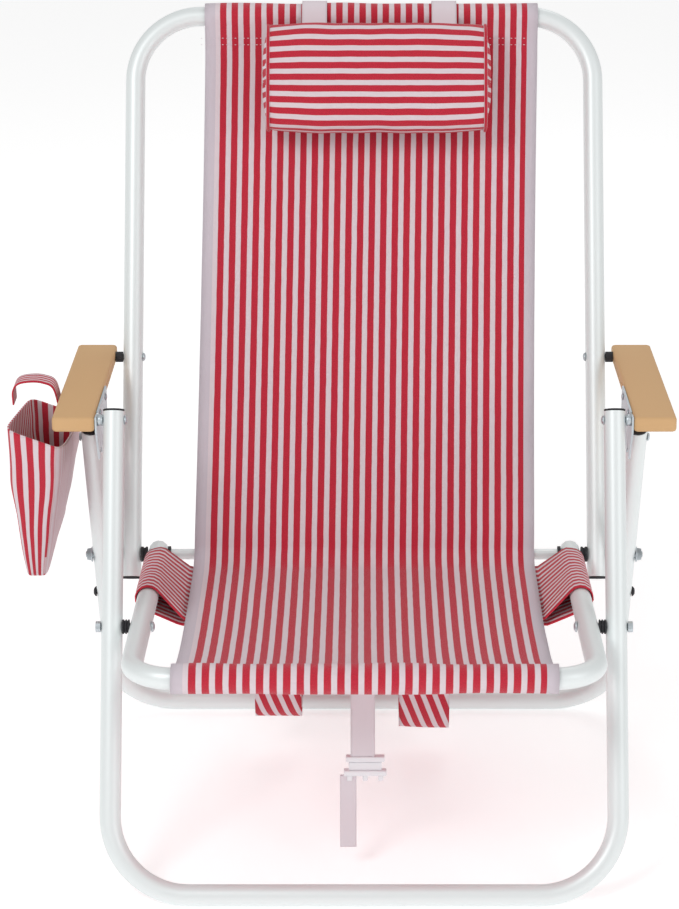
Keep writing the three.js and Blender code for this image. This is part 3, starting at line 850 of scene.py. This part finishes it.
class CHAIR_OT_stage(ChairStep):
    """Set the floor, the lights and the camera"""

    bl_idname = "camp_chair.stage"
    bl_label = "Stage"

    def build(self, context):
        bm = bmesh.new()
        bmesh.ops.create_grid(bm, x_segments=2, y_segments=2, size=30.0)
        mesh = bpy.data.meshes.new("floor")
        bm.to_mesh(mesh)
        bm.free()
        floor = bpy.data.objects.new("floor", mesh)
        paper = Maker(
            "studio floor", base_color=(0.9, 0.9, 0.9), roughness=0.9,
            emission_color=(1, 1, 1), emission_strength=0.36,
        )
        mesh.materials.append(paper.material)
        context.scene.collection.objects.link(floor)
        world = bpy.data.worlds.new("studio")
        world.use_nodes = True
        sky = world.node_tree.nodes["Background"]
        sky.inputs["Color"].default_value = (1, 1, 1, 1)
        sky.inputs["Strength"].default_value = 0.62
        context.scene.world = world
        aim = Vector((0, 0.25, 0.35))
        for name, at, size, power in (
            ("key", (-1.6, -2.0, 2.6), 1.1, 32),
            ("fill", (2.2, -1.6, 1.6), 1.4, 12),
            ("rim", (0.4, 2.4, 2.4), 1.4, 8),
        ):
            light = bpy.data.lights.new(name, "AREA")
            light.size = size
            light.energy = power
            lamp = bpy.data.objects.new(name, light)
            lamp.location = at
            lamp.rotation_euler = (aim - Vector(at)).to_track_quat("-Z", "Y").to_euler()
            context.scene.collection.objects.link(lamp)
        looking_down = 20.32
        lens = bpy.data.cameras.new("camera")
        lens.lens = 106.05
        lens.sensor_width = 36
        lens.shift_x = -0.0272
        camera = bpy.data.objects.new("camera", lens)
        camera.location = (0, -2.391, 1.3724)
        camera.rotation_euler = (math.radians(90 - looking_down), 0, 0)
        context.scene.collection.objects.link(camera)
        context.scene.camera = camera
        context.scene.view_settings.view_transform = "Standard"


class CHAIR_PT_panel(bpy.types.Panel):
    bl_label = "Camp Chair"
    bl_idname = "CHAIR_PT_panel"
    bl_space_type = "VIEW_3D"
    bl_region_type = "UI"
    bl_category = "Camp Chair"

    def draw(self, context):
        for settings in (context.scene.cloth, context.scene.hard):
            for name in settings.bl_rna.properties.keys():
                if name not in ("rna_type", "name"):
                    self.layout.prop(settings, name)
        for step in STEPS:
            self.layout.operator(step.bl_idname)


STEPS = (
    CHAIR_OT_stage,
    CHAIR_OT_frames,
    CHAIR_OT_fittings,
    CHAIR_OT_sling,
    CHAIR_OT_under_band,
    CHAIR_OT_pillow,
    CHAIR_OT_carry_straps,
    CHAIR_OT_closure,
    CHAIR_OT_pouch,
)
CLASSES = (ClothSettings, HardSettings, *STEPS, CHAIR_PT_panel)


def register():
    for cls in CLASSES:
        bpy.utils.register_class(cls)
    bpy.types.Scene.cloth = bpy.props.PointerProperty(type=ClothSettings)
    bpy.types.Scene.hard = bpy.props.PointerProperty(type=HardSettings)


def unregister():
    del bpy.types.Scene.hard
    del bpy.types.Scene.cloth
    for cls in reversed(CLASSES):
        bpy.utils.unregister_class(cls)


def main():
    register()
    for step in STEPS:
        category, name = step.bl_idname.split(".")
        getattr(getattr(bpy.ops, category), name)()


if __name__ == "__main__":
    main()
